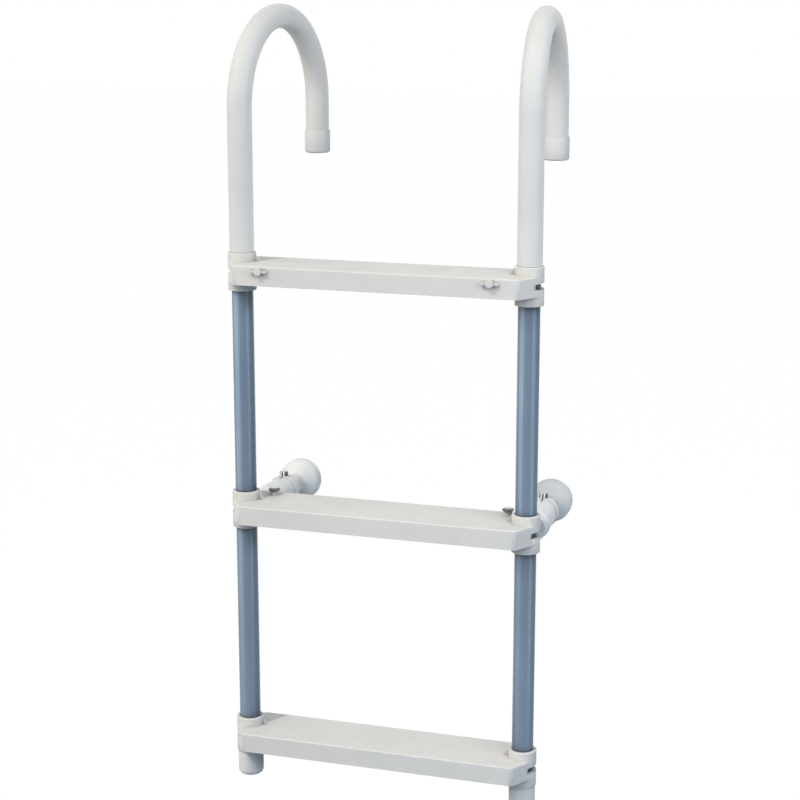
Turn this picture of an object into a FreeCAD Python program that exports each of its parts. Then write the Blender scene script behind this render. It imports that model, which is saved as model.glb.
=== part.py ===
"""Portable boat ladder: two tube rails, three moulded steps, two sleeved hooks
that go over the gunwale, and two adjustable stand-offs behind the middle step.

The origin lies midway between the hooks, on the line along which their inner
crowns rest on the gunwale. +X runs along the steps to the right-hand rail,
+Y points inboard, over the gunwale, and +Z points up. Lengths are millimetres.
"""

import FreeCAD, Part
import math
import os
import Sketcher

# Driving dimensions: alias, value, meaning
SIZES = [
    ("rail_diameter", 22.0, "outside diameter of the rail and hook tube"),
    ("rail_wall", 1.5, "wall of the rail and hook tube"),
    ("rail_spacing", 300.0, "between the two rail axes"),
    ("step_pitch", 250.0, "from one tread to the next"),
    ("rail_tail", 34.0, "rail below the bottom step's skirt"),
    ("tread_depth", 65.0, "front to back over the skirts"),
    ("tread_edge", 294.0, "straight front edge of the step"),
    ("skirt_height", 20.0, "height of the skirt"),
    ("tread_plate", 3.0, "thickness of the tread"),
    ("skirt_wall", 2.5, "thickness of the skirt"),
    ("corner_radius", 6.0, "upright corners of the step"),
    ("brim_radius", 1.6, "rounded upper edge of the step"),
    ("rib_wall", 2.0, "ribs under the tread"),
    ("rib_depth", 12.0, "how far the ribs reach down"),
    ("rib_offset", 9.0, "lengthwise ribs from the centre line"),
    ("rib_spacing", 35.0, "between the cross ribs"),
    ("rib_number", 7, "cross ribs"),
    ("collar_diameter", 28.8, "collar round each rail"),
    ("collar_rise", 9.0, "collar above the tread"),
    ("collar_drop", 9.5, "collar below the skirt"),
    ("collar_round", 1.3, "rounded upper edge of the collar"),
    ("collar_clearance", 0.1, "radial clearance of the rail in its collar"),
    ("gusset_length", 6.0, "fin on the inner side of the collar"),
    ("gusset_wall", 2.4, "thickness of that fin"),
    ("gusset_drop", 0.5, "top of that fin below the collar's rounded edge"),
    ("slot_reach", 8.0, "from the rail axis to the slot's flat end"),
    ("slot_top", 7.5, "slot's upper edge below the tread"),
    ("slot_height", 5.5, "height of the slot"),
    ("slot_bevel", 1.2, "straight stretch of the slot inside its mouth"),
    ("slot_flare", 1.8, "how far the slot's mouth opens above and below"),
    ("cut_margin", 1.0, "how far a cut reaches past the face that it leaves by"),
    ("sleeve_diameter", 25.0, "white sleeve on the hook"),
    ("sleeve_clearance", 0.1, "radial clearance of the sleeve on its tube"),
    ("seat_gap", 0.3, "clearance between parts that turn on each other"),
    ("hook_bend_radius", 90.0, "centre line of the hook's bend"),
    ("hook_leg_height", 151.0, "from the top tread to the centre of the bend"),
    ("hook_tip_height", 93.0, "from the top tread to the end of the hook"),
    ("hook_toe_in", 5.5, "angle by which each hook points inwards"),
    ("hook_cap_diameter", 27.4, "cap on the end of the hook"),
    ("hook_cap_height", 24.0, "height of that cap"),
    ("cap_floor", 3.0, "closed end of the caps"),
    ("hook_cap_bevel", 1.5, "bevel of the hook cap's rim"),
    ("spigot_clearance", 0.05, "radial clearance of the hook's pivot in the rail"),
    ("spigot_depth", 45.0, "pivot inside the rail"),
    ("spigot_tail", 30.0, "pivot inside the hook's tube"),
    ("spigot_shoulder", 1.5, "shoulder between the rail and the hook's tube"),
    ("foot_diameter", 27.0, "cap on the foot of the rail"),
    ("foot_overlap", 24.2, "length of rail inside the foot cap"),
    ("foot_round", 5.5, "rounded lower edge of the foot cap"),
    ("foot_clearance", 0.1, "radial clearance of the rail in the foot cap"),
    ("knob_inset", 31.0, "lock knob from the rail axis"),
    ("knob_gap", 0.4, "lock knob's screw below the tread plate"),
    ("knob_boss", 8.4, "diameter of the lock knob's boss"),
    ("knob_length", 5.0, "length of the lock knob's boss"),
    ("knob_round", 1.2, "rounded front edge of the boss"),
    ("knob_span", 18.0, "over the lock knob's wings"),
    ("knob_wing", 2.6, "thickness of the wings"),
    ("knob_wing_reach", 3.6, "length of the wings along the axis"),
    ("knob_wing_tip", 1.8, "length of the wings' outer edge"),
    ("knob_wing_root", 5.0, "width of the wings where they meet the step"),
    ("knob_screw", 3.0, "diameter of the lock knob's screw"),
    ("knob_screw_length", 14.0, "screw behind the boss"),
    ("screw_clearance", 0.15, "radial clearance round screws and pins"),
    ("pin_inset", 23.5, "stand-off pin from the rail axis"),
    ("pin_back", 20.0, "stand-off pin behind the step's centre line"),
    ("pin_diameter", 4.8, "stem of the stand-off pin"),
    ("pin_head", 12.0, "diameter of the pin's head"),
    ("pin_crown", 8.0, "flat on top of the pin's head"),
    ("pin_head_wall", 2.8, "thickness of the pin's head"),
    ("pin_rise", 5.0, "pin's head above the tread"),
    ("pin_length", 16.0, "pin below the tread"),
    ("tongue_wall", 7.0, "thickness of the bracket's tongue"),
    ("tongue_half", 8.0, "tongue to each side of its pin"),
    ("tongue_clearance", 0.3, "clearance of the tongue in the step"),
    ("bracket_plate", 4.0, "plate against the step's rear skirt"),
    ("plate_margin", 0.6, "plate round the root of the horn"),
    ("arm_drop", 16.0, "stand-off axis below the tread"),
    ("arm_toe_in", 3.0, "angle by which each stand-off points inwards"),
    ("horn_root", 27.0, "diameter of the horn's root on its plate"),
    ("horn_root_length", 9.0, "length of that root behind the plate"),
    ("horn_shoulder", 3.0, "length of the cone from the root to the bead"),
    ("horn_bead", 31.0, "diameter of the bead where the horn starts"),
    ("horn_bead_wall", 3.0, "thickness of that bead"),
    ("horn_start", 30.0, "diameter of the horn behind the bead"),
    ("horn_end", 29.0, "diameter of the horn in front of its ring"),
    ("horn_reach", 91.0, "start of the ring from the rail axis"),
    ("horn_collar", 31.5, "diameter of the ring that ends the horn"),
    ("horn_collar_wall", 10.0, "length of that ring"),
    ("clamp_diameter", 21.0, "split nose behind the ring"),
    ("clamp_length", 17.0, "length of that nose"),
    ("clamp_slit", 1.4, "slit of the clamp"),
    ("slit_lead", 8.0, "how far the slit runs into the horn before the ring"),
    ("ear_wall", 1.8, "ears on the ring"),
    ("ear_rise", 4.4, "ears above the ring"),
    ("ear_root", 2.0, "how deep the ears are rooted in the ring"),
    ("ear_length", 8.0, "length of the ears"),
    ("ear_margin", 1.0, "ears from the end of the ring"),
    ("bolt_diameter", 2.6, "pinch bolt through the ears"),
    ("bolt_head", 4.6, "head and nut of the pinch bolt"),
    ("bolt_head_wall", 1.4, "thickness of the head and of the nut"),
    ("shank_diameter", 14.0, "sliding shank of the stand-off"),
    ("shank_clearance", 0.1, "radial clearance of the shank in the clamp"),
    ("shank_inset", 11.2, "inner end of the shank behind the plate"),
    ("shank_play", 1.5, "end of the bore before the shank"),
    ("shank_bore", 9.0, "bore of the shank"),
    ("flange_diameter", 19.0, "flange in front of the pad"),
    ("flange_gap", 3.0, "bare shank between the clamp and the flange"),
    ("flange_wall", 4.0, "thickness of the flange"),
    ("pad_diameter", 45.0, "round pad that bears on the hull"),
    ("pad_depth", 24.0, "pad's face behind the flange"),
    ("pad_rim", 12.0, "thickness of the pad's rim"),
    ("pad_neck", 20.0, "diameter of the pad's back"),
    ("pad_neck_flare", 1.0, "how far the back flares at its root"),
    ("pad_neck_length", 3.0, "length of that flare"),
    ("pad_shoulder", 1.2, "shoulder of the pad inside its rim"),
    ("pad_shoulder_length", 2.0, "length of that shoulder"),
    ("pad_round", 2.5, "rounded edge of the pad's face"),
]

doc = FreeCAD.newDocument("gunwale_ladder")
sheet = doc.addObject("Spreadsheet::Sheet", "Sizes")
for row, (alias, value, meaning) in enumerate(SIZES, start=1):
    sheet.set(f"A{row}", meaning)
    sheet.set(f"B{row}", str(value))
    sheet.setAlias(f"B{row}", alias)
doc.recompute()


def size(expression):
    """The present value of an expression over the sheet's sizes."""
    found = sheet.evalExpression(expression)
    return float(getattr(found, "Value", found))


# Places worked out from the driving dimensions
RAIL_R = "(Sizes.rail_diameter / 2)"
COLLAR_R = "(Sizes.collar_diameter / 2)"
HALF_SPACING = "(Sizes.rail_spacing / 2)"
HALF_DEPTH = "(Sizes.tread_depth / 2)"
CROWN = "(Sizes.hook_leg_height + Sizes.hook_bend_radius - Sizes.sleeve_diameter / 2)"
RAIL_Y = "(-Sizes.hook_bend_radius * cos(Sizes.hook_toe_in * 1 deg))"
TREAD_Z = {
    "step_top": f"(-{CROWN})",
    "step_middle": f"(-{CROWN} - Sizes.step_pitch)",
    "step_bottom": f"(-{CROWN} - 2 * Sizes.step_pitch)",
}
RAIL_TOP = "(Sizes.collar_rise - Sizes.spigot_shoulder)"
RAIL_FOOT = "(2 * Sizes.step_pitch + Sizes.skirt_height + Sizes.rail_tail)"
PLATE_FRONT = f"({HALF_DEPTH} + Sizes.tongue_clearance)"
PLATE_BACK = f"({PLATE_FRONT} + Sizes.bracket_plate)"
KNOB_DROP = "(Sizes.tread_plate + Sizes.knob_gap + Sizes.knob_screw / 2)"
RING_END = "(Sizes.horn_reach + Sizes.horn_collar_wall)"
CLAMP_R = "(Sizes.clamp_diameter / 2)"
CLAMP_END = f"({RING_END} + Sizes.clamp_length)"
RING_R = "(Sizes.horn_collar / 2)"
EAR_END = f"({RING_END} - Sizes.ear_margin)"
BOLT_REACH = f"({EAR_END} - Sizes.ear_length / 2)"
BOLT_HEIGHT = f"({RING_R} + Sizes.ear_rise / 2)"
SHANK_START = f"({PLATE_BACK} + Sizes.shank_inset)"
FLANGE_START = f"({CLAMP_END} + Sizes.flange_gap)"
FLANGE_END = f"({FLANGE_START} + Sizes.flange_wall)"
PAD_FACE = f"({FLANGE_END} + Sizes.pad_depth)"
SIDES = {"left": -1, "right": 1}
NUT_SIDES = 6
bodies = []


def turned(axis, turn):
    """A placement at the origin, turned about an axis by an expression."""
    return FreeCAD.Placement(FreeCAD.Vector(), FreeCAD.Rotation(axis, size(turn)))


def new_body(label, x="0", y="0", z="0", turn=None):
    """A sub-part with its own label, placed from the sizes. turn is about Z."""
    body = doc.addObject("PartDesign::Body", label)
    body.Label = label
    if turn:
        body.Placement = turned(FreeCAD.Vector(0, 0, 1), turn)
        body.setExpression("Placement.Rotation.Angle", f"({turn}) * 1 deg")
    body.setExpression("Placement.Base.x", x)
    body.setExpression("Placement.Base.y", y)
    body.setExpression("Placement.Base.z", z)
    bodies.append(body)
    return body


def new_sketch(body, role, name, shift=None, lean=None):
    """A sketch on one of the body's own planes, moved along the plane's
    normal by shift, or turned about the body's Z by lean."""
    plane = next(p for p in body.Origin.OriginFeatures if p.Role == role)
    sketch = body.newObject("Sketcher::SketchObject", name)
    sketch.AttachmentSupport = [(plane, "")]
    sketch.MapMode = "FlatFace"
    if lean:
        axis = FreeCAD.Vector(0, 0, 1) if role == "XY_Plane" else FreeCAD.Vector(0, 1, 0)
        sketch.AttachmentOffset = turned(axis, lean)
        sketch.setExpression("AttachmentOffset.Rotation.Angle", f"({lean}) * 1 deg")
    if shift:
        sketch.setExpression("AttachmentOffset.Base.z", shift)
    return sketch


def hold(sketch, kind, geometry, point, expression):
    """Holds one coordinate of a point of the sketch at an expression."""
    bound = Sketcher.Constraint(kind, -1, 1, geometry, point, size(expression))
    index = sketch.addConstraint(bound)
    sketch.setExpression(f"Constraints[{index}]", expression)


def place_point(sketch, geometry, point, x, y):
    """Holds a point of the sketch at a place worked out from the sizes."""
    hold(sketch, "DistanceX", geometry, point, x)
    hold(sketch, "DistanceY", geometry, point, y)


def polygon(sketch, points):
    """A closed outline through points whose coordinates are expressions."""
    corners = [FreeCAD.Vector(size(x), size(y), 0) for x, y in points]
    lines = [
        sketch.addGeometry(Part.LineSegment(corner, corners[(i + 1) % len(corners)]), False)
        for i, corner in enumerate(corners)
    ]
    for i, line in enumerate(lines):
        following = lines[(i + 1) % len(lines)]
        sketch.addConstraint(Sketcher.Constraint("Coincident", line, 2, following, 1))
    for line, (x, y) in zip(lines, points):
        place_point(sketch, line, 1, x, y)


def rectangle(sketch, left, right, low, high):
    """An upright rectangle between four expressions."""
    polygon(sketch, [(left, low), (right, low), (right, high), (left, high)])


def circle(sketch, x, y, radius):
    """A circle whose centre and radius are expressions."""
    centre = FreeCAD.Vector(size(x), size(y), 0)
    shape = Part.Circle(centre, FreeCAD.Vector(0, 0, 1), size(radius))
    index = sketch.addGeometry(shape, False)
    place_point(sketch, index, 3, x, y)
    bound = sketch.addConstraint(Sketcher.Constraint("Radius", index, size(radius)))
    sketch.setExpression(f"Constraints[{bound}]", radius)


def pad(body, sketch, name, length, down=False, middle=False):
    """Adds a sketch's outline as a straight block."""
    feature = body.newObject("PartDesign::Pad", name)
    feature.Profile = sketch
    feature.setExpression("Length", length)
    feature.Reversed = down
    if middle:
        feature.SideType = "Symmetric"
    sketch.Visibility = False
    return feature


def pocket(body, sketch, name, length, up=False, middle=False):
    """Cuts a sketch's outline away, downwards unless up is set."""
    feature = body.newObject("PartDesign::Pocket", name)
    feature.Profile = sketch
    feature.setExpression("Length", length)
    feature.Reversed = up
    if middle:
        feature.SideType = "Symmetric"
    sketch.Visibility = False
    return feature


def revolve(body, sketch, name, axis="V_Axis"):
    """Turns a sketch's outline once round one of the sketch's own axes."""
    feature = body.newObject("PartDesign::Revolution", name)
    feature.Profile = sketch
    feature.ReferenceAxis = (sketch, [axis])
    feature.Angle = 360.0
    sketch.Visibility = False
    return feature


def edges_where(shape, test):
    """Names of the edges whose middle point and direction pass a test."""
    names = []
    for number, edge in enumerate(shape.Edges, start=1):
        middle = edge.valueAt((edge.FirstParameter + edge.LastParameter) / 2)
        if test(edge, middle):
            names.append(f"Edge{number}")
    return names


def soften(body, kind, name, test, amount):
    """A fillet or chamfer on the edges of the body so far that pass a test."""
    doc.recompute()
    base = body.Tip
    names = edges_where(base.Shape, test)
    feature = body.newObject(f"PartDesign::{kind}", name)
    feature.Base = (base, names)
    feature.setExpression("Radius" if kind == "Fillet" else "Size", amount)
    return feature


def near(a, b):
    """True where two lengths agree to a hundredth."""
    return abs(a - b) < 0.01


# Steps


def tread_outline(sketch, half_edge, half_depth, end_radius):
    """The step from above: straight front and back edges, and at each end two
    slanting sides that run tangent into the round of the collar."""
    x, y = size(half_edge), size(half_depth)
    centre_x, radius = size(HALF_SPACING), size(end_radius)
    reach = math.hypot(x - centre_x, y)
    lean = math.atan2(y, centre_x - x) - math.asin(radius / reach)
    along = math.sqrt(reach**2 - radius**2)
    touch_x, touch_y = x + along * math.cos(lean), y - along * math.sin(lean)
    start = math.atan2(touch_y, touch_x - centre_x)
    front, back = -y, y
    vector = FreeCAD.Vector
    up = vector(0, 0, 1)
    right_round = Part.ArcOfCircle(Part.Circle(vector(centre_x, 0, 0), up, radius), -start, start)
    left_round = Part.ArcOfCircle(
        Part.Circle(vector(-centre_x, 0, 0), up, radius), math.pi - start, math.pi + start
    )
    outline = [
        Part.LineSegment(vector(-x, front, 0), vector(x, front, 0)),
        Part.LineSegment(vector(x, front, 0), vector(touch_x, -touch_y, 0)),
        right_round,
        Part.LineSegment(vector(touch_x, touch_y, 0), vector(x, back, 0)),
        Part.LineSegment(vector(x, back, 0), vector(-x, back, 0)),
        Part.LineSegment(vector(-x, back, 0), vector(-touch_x, touch_y, 0)),
        left_round,
        Part.LineSegment(vector(-touch_x, -touch_y, 0), vector(-x, front, 0)),
    ]
    ids = [sketch.addGeometry(piece, False) for piece in outline]
    tangent_joints = [(1, 2), (2, 3), (5, 6), (6, 7)]
    for first in range(len(ids)):
        second = (first + 1) % len(ids)
        kind = "Tangent" if (first, second) in tangent_joints else "Coincident"
        sketch.addConstraint(Sketcher.Constraint(kind, ids[first], 2, ids[second], 1))
    place_point(sketch, ids[0], 1, f"-({half_edge})", f"-({half_depth})")
    place_point(sketch, ids[0], 2, half_edge, f"-({half_depth})")
    place_point(sketch, ids[4], 1, half_edge, half_depth)
    place_point(sketch, ids[4], 2, f"-({half_edge})", half_depth)
    for arc, x_place in ((ids[2], HALF_SPACING), (ids[6], f"-{HALF_SPACING}")):
        place_point(sketch, arc, 3, x_place, "0")
        bound = sketch.addConstraint(Sketcher.Constraint("Radius", arc, radius))
        sketch.setExpression(f"Constraints[{bound}]", end_radius)


def make_step(label):
    """A moulded step: tread plate, skirt, collars, ribs and the slots that
    leave the rail bare on the outer side."""
    body = new_body(label, y=RAIL_Y, z=TREAD_Z[label])
    half_edge = "Sizes.tread_edge / 2"
    skirt = size("Sizes.skirt_height")

    outline = new_sketch(body, "XY_Plane", f"{label}_outline")
    tread_outline(outline, half_edge, HALF_DEPTH, COLLAR_R)
    pad(body, outline, f"{label}_block", "Sizes.skirt_height", down=True)
    soften(
        body,
        "Fillet",
        f"{label}_corners",
        lambda e, m: near(e.Length, skirt) and near(abs(m.y), size(HALF_DEPTH)),
        "Sizes.corner_radius",
    )
    soften(
        body,
        "Fillet",
        f"{label}_brim",
        lambda e, m: near(m.z, 0),
        "Sizes.brim_radius",
    )

    hollow = new_sketch(body, "XY_Plane", f"{label}_hollow_outline", "-Sizes.skirt_height")
    tread_outline(
        hollow,
        f"{half_edge} - Sizes.skirt_wall / 2",
        f"{HALF_DEPTH} - Sizes.skirt_wall",
        f"{COLLAR_R} - Sizes.skirt_wall",
    )
    pocket(body, hollow, f"{label}_hollow", "Sizes.skirt_height - Sizes.tread_plate", up=True)

    lower = "-(Sizes.skirt_height + Sizes.collar_drop)"
    rings = new_sketch(body, "XY_Plane", f"{label}_collar_rings", lower)
    for side in SIDES.values():
        circle(rings, f"{side} * {HALF_SPACING}", "0", COLLAR_R)
    height = "Sizes.skirt_height + Sizes.collar_drop + Sizes.collar_rise"
    pad(body, rings, f"{label}_collars", height)

    inner_x = f"({HALF_SPACING} - {COLLAR_R} + Sizes.skirt_wall / 2)"
    inner_y = f"({HALF_DEPTH} - Sizes.skirt_wall / 2)"
    long_ribs = new_sketch(body, "XY_Plane", f"{label}_long_rib_lines", "-Sizes.tread_plate / 2")
    for side in SIDES.values():
        middle = f"{side} * Sizes.rib_offset"
        low, high = f"{middle} - Sizes.rib_wall / 2", f"{middle} + Sizes.rib_wall / 2"
        rectangle(long_ribs, f"-{inner_x}", inner_x, low, high)
    deep = "Sizes.rib_depth + Sizes.tread_plate / 2"
    pad(body, long_ribs, f"{label}_long_ribs", deep, down=True)

    cross_rib = new_sketch(body, "XY_Plane", f"{label}_cross_rib_line", "-Sizes.tread_plate / 2")
    first = "(-(Sizes.rib_number - 1) * Sizes.rib_spacing / 2)"
    half_wall = "Sizes.rib_wall / 2"
    rectangle(cross_rib, f"{first} - {half_wall}", f"{first} + {half_wall}", f"-{inner_y}", inner_y)
    rib = pad(body, cross_rib, f"{label}_cross_rib", deep, down=True)
    row = body.newObject("PartDesign::LinearPattern", f"{label}_cross_ribs")
    row.Originals = [rib]
    row.Direction = (cross_rib, ["H_Axis"])
    row.setExpression("Length", "(Sizes.rib_number - 1) * Sizes.rib_spacing")
    row.setExpression("Occurrences", "Sizes.rib_number")
    body.Tip = row

    fins = new_sketch(body, "XZ_Plane", f"{label}_gusset_outlines")
    for side in SIDES.values():
        foot = f"{side} * ({HALF_SPACING} - {COLLAR_R} - Sizes.gusset_length)"
        edge = f"{side} * ({HALF_SPACING} - {COLLAR_R})"
        root = f"{side} * ({HALF_SPACING} - {COLLAR_R} + Sizes.skirt_wall / 2)"
        sunk = "-Sizes.tread_plate / 2"
        top = "Sizes.collar_rise - Sizes.collar_round - Sizes.gusset_drop"
        polygon(fins, [(foot, sunk), (foot, "0"), (edge, top), (root, top), (root, sunk)])
    pad(body, fins, f"{label}_gussets", "Sizes.gusset_wall", middle=True)

    bores = new_sketch(body, "XY_Plane", f"{label}_bore_circles", lower)
    for side in SIDES.values():
        bore_r = f"{RAIL_R} + Sizes.collar_clearance"
        circle(bores, f"{side} * {HALF_SPACING}", "0", bore_r)
    pocket(body, bores, f"{label}_bores", height, up=True)

    slots = new_sketch(body, "XZ_Plane", f"{label}_slot_outlines")
    for side in SIDES.values():
        near_end = f"{side} * ({HALF_SPACING} + Sizes.slot_reach)"
        bevel_end = f"{side} * ({HALF_SPACING} + Sizes.slot_reach + Sizes.slot_bevel)"
        far_end = f"{side} * ({HALF_SPACING} + Sizes.collar_diameter)"
        high, low = "-Sizes.slot_top", "-(Sizes.slot_top + Sizes.slot_height)"
        outer_high = f"{high} + Sizes.slot_flare"
        outer_low = f"{low} - Sizes.slot_flare"
        mouth = [(far_end, outer_low), (far_end, outer_high), (bevel_end, high)]
        polygon(slots, mouth + [(near_end, high), (near_end, low), (bevel_end, low)])
    pocket(body, slots, f"{label}_slots", "Sizes.tread_depth", middle=True)

    ring_top = size("Sizes.collar_rise")
    ring_r = size(COLLAR_R)
    soften(
        body,
        "Fillet",
        f"{label}_collar_rounds",
        lambda e, m: near(m.z, ring_top) and e.Curve.TypeId == "Part::GeomCircle"
        and near(e.Curve.Radius, ring_r),
        "Sizes.collar_round",
    )
    return body


def bore_tread(body, label, x, y, radius):
    """Holes through the tread plate, one each side of the middle."""
    holes = new_sketch(body, "XY_Plane", f"{label}_circles")
    for side in SIDES.values():
        circle(holes, f"{side} * ({x})", y, radius)
    pocket(body, holes, label, "Sizes.tread_plate + Sizes.cut_margin")


def notch_rear_skirt(body):
    """Pockets that let the stand-off tongues in, through the rear skirt and as
    far under the tread as the tongues reach."""
    notches = new_sketch(body, "XZ_Plane", "tongue_notch_outlines", f"-{HALF_DEPTH} - Sizes.cut_margin")
    pin_x = f"({HALF_SPACING} - Sizes.pin_inset)"
    half = "(Sizes.tongue_half + Sizes.tongue_clearance)"
    top = "-Sizes.tread_plate"
    low = "-(Sizes.tread_plate + Sizes.tongue_wall + 2 * Sizes.tongue_clearance)"
    for side in SIDES.values():
        inner, outer = f"{side} * {pin_x} - {half}", f"{side} * {pin_x} + {half}"
        rectangle(notches, inner, outer, low, top)
    reach = f"{HALF_DEPTH} - Sizes.pin_back + Sizes.tongue_half + Sizes.tongue_clearance"
    pocket(body, notches, "tongue_notches", f"{reach} + Sizes.cut_margin", up=True)


def bore_front_skirt(body):
    """Holes in the front skirt, as deep as the lock knobs' screws reach."""
    holes = new_sketch(body, "XZ_Plane", "knob_hole_circles", f"{HALF_DEPTH} + Sizes.cut_margin")
    for side in SIDES.values():
        x = f"{side} * ({HALF_SPACING} - Sizes.knob_inset)"
        circle(holes, x, f"-{KNOB_DROP}", "Sizes.knob_screw / 2 + Sizes.screw_clearance")
    pocket(body, holes, "knob_holes", "Sizes.knob_screw_length + 2 * Sizes.cut_margin")


# Rails and feet


def make_rail(label, side):
    """A straight tube from the foot cap up into the top step's collar."""
    body = new_body(label, x=f"{side} * {HALF_SPACING}", y=RAIL_Y, z=TREAD_Z["step_top"])
    ring = new_sketch(body, "XY_Plane", f"{label}_section", RAIL_TOP)
    circle(ring, "0", "0", RAIL_R)
    circle(ring, "0", "0", f"{RAIL_R} - Sizes.rail_wall")
    pad(body, ring, f"{label}_tube", f"{RAIL_TOP} + {RAIL_FOOT}", down=True)


def make_foot(label, side):
    """A moulded cap on the foot of the rail, rounded below."""
    z = f"{TREAD_Z['step_top']} - {RAIL_FOOT}"
    body = new_body(label, x=f"{side} * {HALF_SPACING}", y=RAIL_Y, z=z)
    section = new_sketch(body, "XZ_Plane", f"{label}_section")
    outer, bore = "Sizes.foot_diameter / 2", f"{RAIL_R} + Sizes.foot_clearance"
    top, bottom = "Sizes.foot_overlap", "-Sizes.cap_floor"
    corners = [("0", bottom), (outer, bottom), (outer, top), (bore, top), (bore, "0"), ("0", "0")]
    polygon(section, corners)
    revolve(body, section, f"{label}_cap")
    lowest, widest = size(bottom), size(outer)
    is_lower_rim = lambda e, m: near(m.z, lowest) and near(math.hypot(m.x, m.y), widest)
    soften(body, "Fillet", f"{label}_round", is_lower_rim, "Sizes.foot_round")


# Hooks


def hook_path(body, label, start, tip):
    """The hook's centre line: up, over in a half circle, and down."""
    path = new_sketch(body, "YZ_Plane", f"{label}_path")
    reach, bend = "2 * Sizes.hook_bend_radius", "Sizes.hook_leg_height"
    vector = FreeCAD.Vector
    radius, height = size("Sizes.hook_bend_radius"), size(bend)
    up = path.addGeometry(
        Part.LineSegment(vector(0, size(start), 0), vector(0, height, 0)), False
    )
    over = path.addGeometry(
        Part.ArcOfCircle(Part.Circle(vector(radius, height, 0), vector(0, 0, 1), radius), 0, math.pi),
        False,
    )
    down = path.addGeometry(
        Part.LineSegment(vector(2 * radius, height, 0), vector(2 * radius, size(tip), 0)), False
    )
    path.addConstraint(Sketcher.Constraint("Coincident", up, 2, over, 2))
    path.addConstraint(Sketcher.Constraint("Coincident", over, 1, down, 1))
    place_point(path, up, 1, "0", start)
    place_point(path, up, 2, "0", bend)
    place_point(path, over, 3, "Sizes.hook_bend_radius", bend)
    hold(path, "DistanceY", down, 1, bend)
    place_point(path, down, 2, reach, tip)
    path.Visibility = False
    return path


def make_bent_tube(label, side, outer, inner):
    """A tube of the given radii that follows the hook's centre line."""
    start = "Sizes.collar_rise + Sizes.seat_gap"
    tip = "Sizes.hook_tip_height + Sizes.cap_floor"
    body = new_hook_body(label, side)
    path = hook_path(body, label, start, tip)
    section = new_sketch(body, "XY_Plane", f"{label}_section", start)
    circle(section, "0", "0", outer)
    circle(section, "0", "0", inner)
    pipe = body.newObject("PartDesign::AdditivePipe", f"{label}_bend")
    pipe.Profile = section
    pipe.Spine = (path, ["Edge1", "Edge2", "Edge3"])
    section.Visibility = False


def new_hook_body(label, side):
    """A sub-part of a hook: its own Z is the rail's axis, its own YZ plane
    holds the hook, turned inwards by the toe-in."""
    turn = f"{side} * Sizes.hook_toe_in"
    x = f"{side} * {HALF_SPACING}"
    return new_body(label, x=x, y=RAIL_Y, z=TREAD_Z["step_top"], turn=turn)


def make_spigot(label, side):
    """The pivot: a plug held in the hook's tube that turns in the rail, with
    a shoulder that carries the hook on the rail's end."""
    body = new_hook_body(label, side)
    section = new_sketch(body, "XZ_Plane", f"{label}_section")
    bore = f"({RAIL_R} - Sizes.rail_wall)"
    lower, upper = f"{bore} - Sizes.spigot_clearance", f"{bore} - Sizes.sleeve_clearance"
    seat = f"({RAIL_TOP} + Sizes.seat_gap)"
    shoulder = f"({seat} + Sizes.spigot_shoulder)"
    foot, head = f"{RAIL_TOP} - Sizes.spigot_depth", f"{shoulder} + Sizes.spigot_tail"
    points = [("0", foot), (lower, foot), (lower, seat), (RAIL_R, seat), (RAIL_R, shoulder)]
    polygon(section, points + [(upper, shoulder), (upper, head), ("0", head)])
    revolve(body, section, f"{label}_plug")


def make_hook_cap(label, side):
    """The cap over the end of the hook, open upwards."""
    body = new_hook_body(label, side)
    outer = "Sizes.hook_cap_diameter / 2"
    low, high = "Sizes.hook_tip_height", "Sizes.hook_tip_height + Sizes.hook_cap_height"
    reach = "2 * Sizes.hook_bend_radius"
    ring = new_sketch(body, "XY_Plane", f"{label}_outline", low)
    circle(ring, "0", reach, outer)
    pad(body, ring, f"{label}_block", "Sizes.hook_cap_height")
    bore = new_sketch(body, "XY_Plane", f"{label}_bore_circle", high)
    circle(bore, "0", reach, "Sizes.sleeve_diameter / 2 + Sizes.sleeve_clearance")
    pocket(body, bore, f"{label}_bore", "Sizes.hook_cap_height - Sizes.cap_floor")
    lowest = size(low)
    soften(body, "Chamfer", f"{label}_bevel", lambda e, m: near(m.z, lowest), "Sizes.hook_cap_bevel")


def make_knob(label, side):
    """The wing knob on the front of the top step, with its screw."""
    x = f"{side} * ({HALF_SPACING} - Sizes.knob_inset)"
    y, z = f"{RAIL_Y} - {HALF_DEPTH}", f"{TREAD_Z['step_top']} - {KNOB_DROP}"
    body = new_body(label, x=x, y=y, z=z)
    wings = new_sketch(body, "XY_Plane", f"{label}_wing_outline")
    half, gap = "Sizes.knob_span / 2", "-Sizes.seat_gap"
    root, tip = "Sizes.knob_wing_root / 2", "-Sizes.seat_gap - Sizes.knob_wing_reach"
    edge = f"{tip} + Sizes.knob_wing_tip"
    outline = [(f"-{half}", tip), (half, tip), (half, edge)]
    outline += [(root, gap), (f"-{root}", gap), (f"-{half}", edge)]
    polygon(wings, outline)
    pad(body, wings, f"{label}_wings", "Sizes.knob_wing", middle=True)
    boss = new_sketch(body, "XZ_Plane", f"{label}_boss_circle", "Sizes.seat_gap")
    circle(boss, "0", "0", "Sizes.knob_boss / 2")
    pad(body, boss, f"{label}_boss", "Sizes.knob_length")
    screw = new_sketch(body, "XZ_Plane", f"{label}_screw_circle", "Sizes.seat_gap")
    circle(screw, "0", "0", "Sizes.knob_screw / 2")
    pad(body, screw, f"{label}_screw", "Sizes.knob_screw_length + Sizes.seat_gap", down=True)
    front = size("-Sizes.seat_gap - Sizes.knob_length")
    soften(body, "Fillet", f"{label}_round", lambda e, m: near(m.y, front), "Sizes.knob_round")


# Stand-offs


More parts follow.
